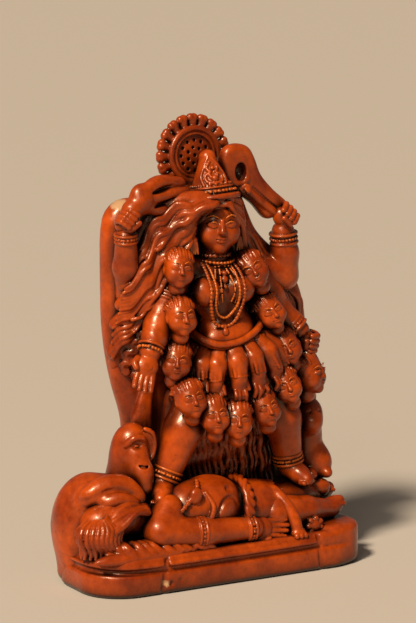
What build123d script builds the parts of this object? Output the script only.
"""Glazed clay figurine of a four-armed goddess standing over a reclining figure.

The figurine is built up from separately pressed and hand-rolled clay pieces that are luted together
with slip and fired as one. Each clay piece is one node here, seated face to face on its neighbours.
Units are millimetres. +Z is up, the front faces -Y, and the origin is the centre of the foot ring.
"""

from build123d import *
import math
import os

# ---------------------------------------------------------------- driving dimensions
PLINTH_W = 160.0  # along X
PLINTH_D = 60.0  # along Y
PLINTH_R = 22.0  # plan radius of the corners
BAND_H = 12.0  # lower band of the plinth
LEDGE_H = 7.0  # upper ledge of the plinth
LEDGE_INSET = 1.6
FOOT_WALL = 9.0  # clay left round the hollow underside
HOLLOW_H = 10.0
PLINTH_TOP = BAND_H + LEDGE_H

MOUND_TOP = 39.0  # ground under the goddess's feet

HEAD_CENTRE = (7.0, 2.0, 174.0)
HEAD_R = 11.0
HEAD_HALF_H = 13.5
CROWN_BASE_Z = 186.0
CROWN_H = 24.5
HALO_CENTRE = (4.0, 20.0, 206.0)
HALO_RING_R = 13.5
HALO_PETAL_R = 3.6
HALO_OUTER_R = 21.5
HALO_T = 6.0
PETALS = 20

GARLAND_R = 6.2  # half width of one pressed head
GARLAND_HALF_H = 8.2
SKIRT_ARMS = 10
SKIRT_CENTRE = (16.0, 3.0, 118.0)
SKIRT_RX, SKIRT_RY = 24.0, 13.0
BELT_CENTRE = (13.0, 2.0, 122.0)
BELT_RX, BELT_RY = 18.0, 11.5
BELT_R = 2.0
BELT_DROP = 5.0  # how far the belt's middle hangs below its ends
BELT_SLANT = 0.12  # rise towards the left hip, per millimetre of X

TRIDENT_PRONGS = (
    ((-27, 3.5, 196), (-14, 6, 194.5)),
    ((-25, 3.2, 189), (-11.5, 5, 189)),
    ((-26, 3.8, 181.5), (-13.5, 7, 183)),
)

SLIVER = 0.04  # share of a piece below which a loose crumb of clay is dropped

pieces = {}
boxes = {}


# ---------------------------------------------------------------- basic clay shapes
def spheroid(centre, r, half_h, tilt=(0, 0, 0)):
    """Egg of revolution about its own Z, turned by tilt degrees and moved to centre."""
    profile = Plane.XZ * Ellipse(r, half_h)
    half = profile & (Plane.XZ * Pos(r, 0) * Rectangle(2 * r, 3 * half_h))
    return Pos(*centre) * Rot(*tilt) * revolve(half, Axis.Z)


def ellipsoid(centre, radii, tilt=(0, 0, 0)):
    return Pos(*centre) * Rot(*tilt) * scale(Sphere(1), by=radii)


def frustum(a, b, ra, rb):
    """Round tapered rod from a to b."""
    a, b = Vector(*a), Vector(*b)
    height = (b - a).length
    plane = Plane(origin=a, z_dir=b - a)
    align = (Align.CENTER, Align.CENTER, Align.MIN)
    if abs(ra - rb) < 0.01:
        return plane * Cylinder(ra, height, align=align)
    return plane * Cone(ra, rb, height, align=align)


def limb(points, radii):
    """Rolled clay limb: tapered rods with a slightly fuller ball at each joint."""
    made = Pos(*points[0]) * Sphere(radii[0] * 1.03)
    for a, b, ra, rb in zip(points, points[1:], radii, radii[1:]):
        made += frustum(a, b, ra, rb)
        made += Pos(*b) * Sphere(rb * 1.03)
    return made


def slab(outline, y_front, y_back):
    """Flat clay sheet with an XZ outline, from y_front to y_back."""
    face = make_face(Plane.XZ * Polyline(*outline, close=True))
    return Pos(0, y_back, 0) * extrude(face, y_back - y_front)


def rod(points, r):
    """Thin rolled coil along a smooth line."""
    path = Spline(*points)
    return sweep(Plane(path @ 0, z_dir=path % 0) * Circle(r), path)


def rounded_plan(w, d, r, height, z0):
    plan = Pos(0, 0, z0) * RectangleRounded(w, d, r)
    return extrude(plan, height)


def main_solids(shape):
    """The shape without crumbs that cutting may leave."""
    solids = shape.solids()
    whole = max(s.volume for s in solids)
    kept = [s for s in solids if s.volume > SLIVER * whole]
    return kept[0] if len(kept) == 1 else Compound(children=kept)


def boxes_meet(a, b):
    low_a, high_a, low_b, high_b = tuple(a.min), tuple(a.max), tuple(b.min), tuple(b.max)
    return all(low_a[i] < high_b[i] and low_b[i] < high_a[i] for i in range(3))


def lute(name, shape):
    """Adds a clay piece, pressed against every piece that is already there."""
    box = shape.bounding_box()
    for other, other_box in boxes.items():
        if boxes_meet(box, other_box):
            shape = shape - pieces[other]
    pieces[name] = main_solids(shape)
    boxes[name] = box


# ---------------------------------------------------------------- ground
def plinth():
    band = rounded_plan(PLINTH_W, PLINTH_D, PLINTH_R, BAND_H, 0)
    band = fillet(band.edges().group_by(Axis.Z)[0], 2.5)
    ledge_w, ledge_d = PLINTH_W - 2 * LEDGE_INSET, PLINTH_D - 2 * LEDGE_INSET
    ledge = rounded_plan(ledge_w, ledge_d, PLINTH_R - LEDGE_INSET, LEDGE_H, BAND_H)
    ledge = fillet(ledge.edges().group_by(Axis.Z)[-1], 2.5)
    inner_w, inner_d = PLINTH_W - 2 * FOOT_WALL, PLINTH_D - 2 * FOOT_WALL
    hollow = rounded_plan(inner_w, inner_d, PLINTH_R - FOOT_WALL, HOLLOW_H, 0)
    return band + ledge - hollow


def mound():
    block = Pos(16, 12, PLINTH_TOP) * Box(
        112, 30, MOUND_TOP - PLINTH_TOP, align=(Align.CENTER, Align.CENTER, Align.MIN)
    )
    block = fillet(block.edges().filter_by(Axis.Z), 9)
    return fillet(block.edges().group_by(Axis.Z)[-1], 5)


def bolster():
    whole = ellipsoid((-59, 6, 24), (19.5, 21.5, 31.5))
    ground = Pos(-60, 6, 0) * Box(60, 60, PLINTH_TOP * 2)
    return whole - ground


def back_slab():
    outline = [
        (-36, 190), (-43, 184), (-46, 172), (-46, 118), (-40, 92), (-33, 70), (-36, 36),
        (58, 36), (54, 70), (58, 96), (60, 120), (50, 146), (26, 164), (14, 184), (0, 186),
        (-16, 178), (-22, 166), (-27, 152), (-34, 150), (-36, 160), (-33, 178), (-28, 186),
    ]
    return slab(outline, 14, 27)


# ---------------------------------------------------------------- standing figure
def torso():
    sections = [
        ((17, 4, 92), 20, 12),
        ((17, 3, 106), 21, 13),
        ((14, 3, 122), 14.5, 11),
        ((10, 3, 140), 18, 12),
        ((9, 5, 153), 20, 8.5),
        ((8, 6, 157.5), 10, 6),
    ]
    return loft([Pos(*c) * Ellipse(rx, ry) for c, rx, ry in sections])


def leg(hip, knee, ankle, toe):
    return limb([hip, knee, ankle, toe], [10.5, 9.4, 6.8, 4.2])


def goddess_head():
    x, y, z = HEAD_CENTRE
    skull = spheroid(HEAD_CENTRE, HEAD_R, HEAD_HALF_H)
    neck = frustum((x, y + 3, z - 19), (x, y + 2, z - 6), 6.5, 6.0)
    return skull + neck


def crown():
    x, y, _ = HEAD_CENTRE
    align = (Align.CENTER, Align.CENTER, Align.MIN)
    cap = Cylinder(12.4, 4.2, align=align) + Pos(0, 0, 4.2) * Cone(10.8, 5.4, CROWN_H - 9, align=align)
    return Pos(x, y + 1, CROWN_BASE_Z - 2) * Rot(-9, 4, 0) * (cap + Pos(0, 0, CROWN_H - 6) * Sphere(5.6))


def halo():
    disc = Rot(90, 0, 0) * Cylinder(HALO_RING_R + 2.5, HALO_T)
    reach = HALO_OUTER_R - HALO_PETAL_R
    for k in range(PETALS):
        turn = 360.0 * k / PETALS
        petal = Pos(reach - 1.5, 0, 0) * scale(Sphere(1), by=(5.1, HALO_T * 0.55, 3.0))
        disc += Rot(0, turn, 0) * petal
    stem = Pos(0, 0, -HALO_OUTER_R + 3) * Box(13, HALO_T, 12)
    return Pos(*HALO_CENTRE) * Rot(-4, 0, 0) * (disc + stem)


def sword():
    outline = [
        (16, 196), (15, 204), (20, 210.5), (28, 211.5), (34, 207), (37, 199), (41, 190),
        (51, 178), (45, 170), (33, 182), (24, 188), (19, 191),
    ]
    blade = slab(outline, 4, 10)
    eye = Pos(24, 7, 199) * Rot(90, 0, 0) * Cylinder(3.2, 8)
    return blade - Pos(0, -5, 0) * eye


def trident():
    made = limb([(-44, 1, 176), (-36, 2, 187)], [3.4, 4.9])
    for bend, end in TRIDENT_PRONGS:
        made += limb([(-35.5, 2.5, 187.5), bend, end], [3.3, 2.9, 2.4])
    return made


def front_arc(centre, rx, ry, r, drop, slant=0.0, first=190, last=350, steps=6):
    """Rolled coil round the front of the body, its middle lower by drop and its +X end raised by slant."""
    cx, cy, cz = centre
    points = []
    for k in range(steps + 1):
        angle = math.radians(first + (last - first) * k / steps)
        aside = rx * math.cos(angle)
        fall = drop * abs(math.sin(angle))
        points.append((cx + aside, cy + ry * math.sin(angle), cz - fall + slant * aside))
    return rod(points, r)


def skirt_arm(k):
    """One hanging forearm of the skirt, fanned out round the belt from the front."""
    angle = math.radians(-168 + 156 * k / (SKIRT_ARMS - 1))
    cx, cy, cz = SKIRT_CENTRE
    top = (
        cx + (SKIRT_RX - 5) * math.cos(angle),
        cy + (SKIRT_RY - 3) * math.sin(angle),
        cz - 3 + 5 * math.sin(angle),
    )
    foot = (
        cx + (SKIRT_RX + 3) * math.cos(angle),
        cy + (SKIRT_RY + 3) * math.sin(angle),
        cz - 22 + 2 * math.sin(angle),
    )
    hand = spheroid((foot[0], foot[1], foot[2] - 4), 2.9, 6.2, (0, 12 * math.cos(angle), 0))
    return limb([top, foot], [4.4, 3.2]) + hand


def pressed_head(centre, lean, r=GARLAND_R, half_h=GARLAND_HALF_H):
    """Small pressed head with its neck stub, leaning sideways by lean degrees."""
    egg = spheroid((0, 0, 0), r, half_h)
    stub = Pos(0, 1.5, -half_h * 0.75) * Cylinder(r * 0.62, half_h * 0.7)
    return Pos(*centre) * Rot(0, lean, 0) * (egg + stub)


# ---------------------------------------------------------------- reclining figure
def reclining_arm():
    points = [(-30, -14, 37), (-38, -20, 28), (-14, -22.5, 25), (16, -22.5, 24.0), (27, -21, 23.5)]
    return limb(points, [7.0, 7.2, 6.4, 5.0, 4.6])


def build():
    lute("plinth", plinth())
    lute("ground_mound", mound())
    lute("bolster", bolster())
    lute("back_slab", back_slab())
    lute("goddess_torso", torso())
    lute("goddess_right_leg", leg((2, 2, 98), (-14, -2, 74), (-25, -2, 48), (-32, -12, 43.5)))
    lute("goddess_left_leg", leg((32, 2, 98), (43, -1, 72), (48, 0, 48.5), (51, -12, 43.8)))
    lute("goddess_head", goddess_head())
    lute("crown", crown())
    lute("halo", halo())

    lute("raised_right_arm", limb(
        [(-9, 10, 151), (-37, 8, 143), (-42, 4, 169), (-43, 1, 181)], [7.4, 7.6, 5.8, 6.2]))
    lute("raised_left_arm", limb(
        [(31, 9, 150), (50, 7, 146), (48.5, 4, 166), (46, 2, 178)], [8.2, 8.6, 6.6, 6.9]))
    lute("lowered_right_arm", limb(
        [(-14, 3, 147), (-27, 0, 127), (-34, -4, 117), (-39, -8, 107)], [7.6, 7.4, 6.2, 7.4]))
    lute("lowered_left_arm", limb(
        [(31, 5, 146), (46, 5, 125), (54, 1, 117.5), (58, -1, 112)], [7.6, 6.8, 5.6, 6.6]))
    lute("sword", sword())
    lute("trident", trident())

    lute("right_hair", slab(
        [(2, 191), (-12, 187), (-23, 178), (-28, 164), (-38, 147), (-44, 122), (-36, 104),
         (-26, 112), (-14, 138), (-5, 158), (-3, 172)], 5, 15))
    lute("left_hair", slab(
        [(12, 190), (20, 184), (25, 170), (36, 160), (47, 152), (58, 132), (64, 116),
         (54, 112), (40, 132), (26, 150), (14, 160)], 6, 15))
    lute("hair_fall", slab([(-10, 84), (-14, 60), (-12, 38), (42, 38), (42, 60), (36, 84)], 9, 15))

    lute("waist_belt", front_arc(BELT_CENTRE, BELT_RX, BELT_RY, BELT_R, BELT_DROP, BELT_SLANT))
    for k in range(SKIRT_ARMS):
        lute(f"skirt_arm_{k + 1:02d}", skirt_arm(k))

    garland = [
        ((-19, -6, 154), 4), ((-19.5, -9, 131), 0), ((-21, -7, 109), 6), ((-16.5, -13, 91), -10),
        ((-4.5, -15, 82), -6), ((8.5, -16, 78.5), 0), ((25, -14, 82.5), -14), ((40, -10, 92), -22),
        ((43, -5, 110), -24), ((33, -5, 129), -26), ((23.5, -5, 150.5), -30),
    ]
    for k, (centre, lean) in enumerate(garland):
        lute(f"garland_head_{k + 1:02d}", pressed_head(centre, lean))
    lute("severed_head", pressed_head((57, -3, 95), -4, 7.4, 9.4))

    nx, ny, nz = HEAD_CENTRE[0], HEAD_CENTRE[1] + 3, HEAD_CENTRE[2] - 15.5
    lute("choker", front_arc((nx, ny, nz), 7.6, 7.6, 1.5, 2))
    lute("long_necklace", rod(
        [(-3, 2, 156), (-3.4, -8, 144), (-0.6, -9, 130), (5.2, -9.4, 123), (11, -9, 130),
         (13.8, -8, 144), (13.4, 2, 156)], 1.9))
    lute("earrings", Compound(children=[
        spheroid((x, 1, 162), 2.6, 5.6) for x in (-5.5, 19.5)]))

    lute("jackal", limb([(64, 12, 46), (63, 11, 62), (62, 8, 73)], [10.5, 8.2, 7.0]))
    lute("bull_head", limb([(-38, 8, 68), (-35.5, 4.5, 56), (-34, 1, 45)], [11.2, 8.4, 5.4]))

    lute("reclining_torso", ellipsoid((-4, -8, 34), (20, 14.5, 17)))
    lute("reclining_head", spheroid((-47, -7, 34), 9.5, 11, (0, 90, 0)))
    lute("reclining_hair", ellipsoid((-60, -9, 36), (12, 10, 9)))
    lute("hair_bun", Pos(-65.5, -16.2, 26.4) * Sphere(7.8))
    lute("reclining_arm", reclining_arm())
    lute("reclining_hips", ellipsoid((24, -7, 31), (15, 14, 14)))
    lute("reclining_near_leg", limb([(31, -15, 27), (50, -13.4, 25.5), (71, -9, 24)], [9.3, 7.5, 6.0]))
    lute("reclining_far_leg", limb([(33, -3.3, 32.2), (53, -2.6, 33.4), (70.5, 1.2, 31)], [8.1, 6.9, 5.0]))
    lute("rope_belt", Pos(12, -8, 32) * Rot(0, 84, 0) * Torus(14.5, 2.8))
    lute("ground_locks", ellipsoid((-42, -23.5, 20), (24, 4.5, 6)))
    lute("anklets", Compound(children=[
        Pos(-21.6, -2, 56) * Rot(0, 22.9, 0) * Cylinder(9.4, 3.6),
        Pos(46.3, -0.4, 56.5) * Rot(0, -12, 0) * Cylinder(9.6, 3.6),
    ]))


os.makedirs("parts", exist_ok=True)
for old in os.listdir("parts"):
    os.remove(os.path.join("parts", old))
build()
for node, shape in pieces.items():
    export_step(shape, f"parts/{node}.step")
print(len(pieces), "clay pieces written")
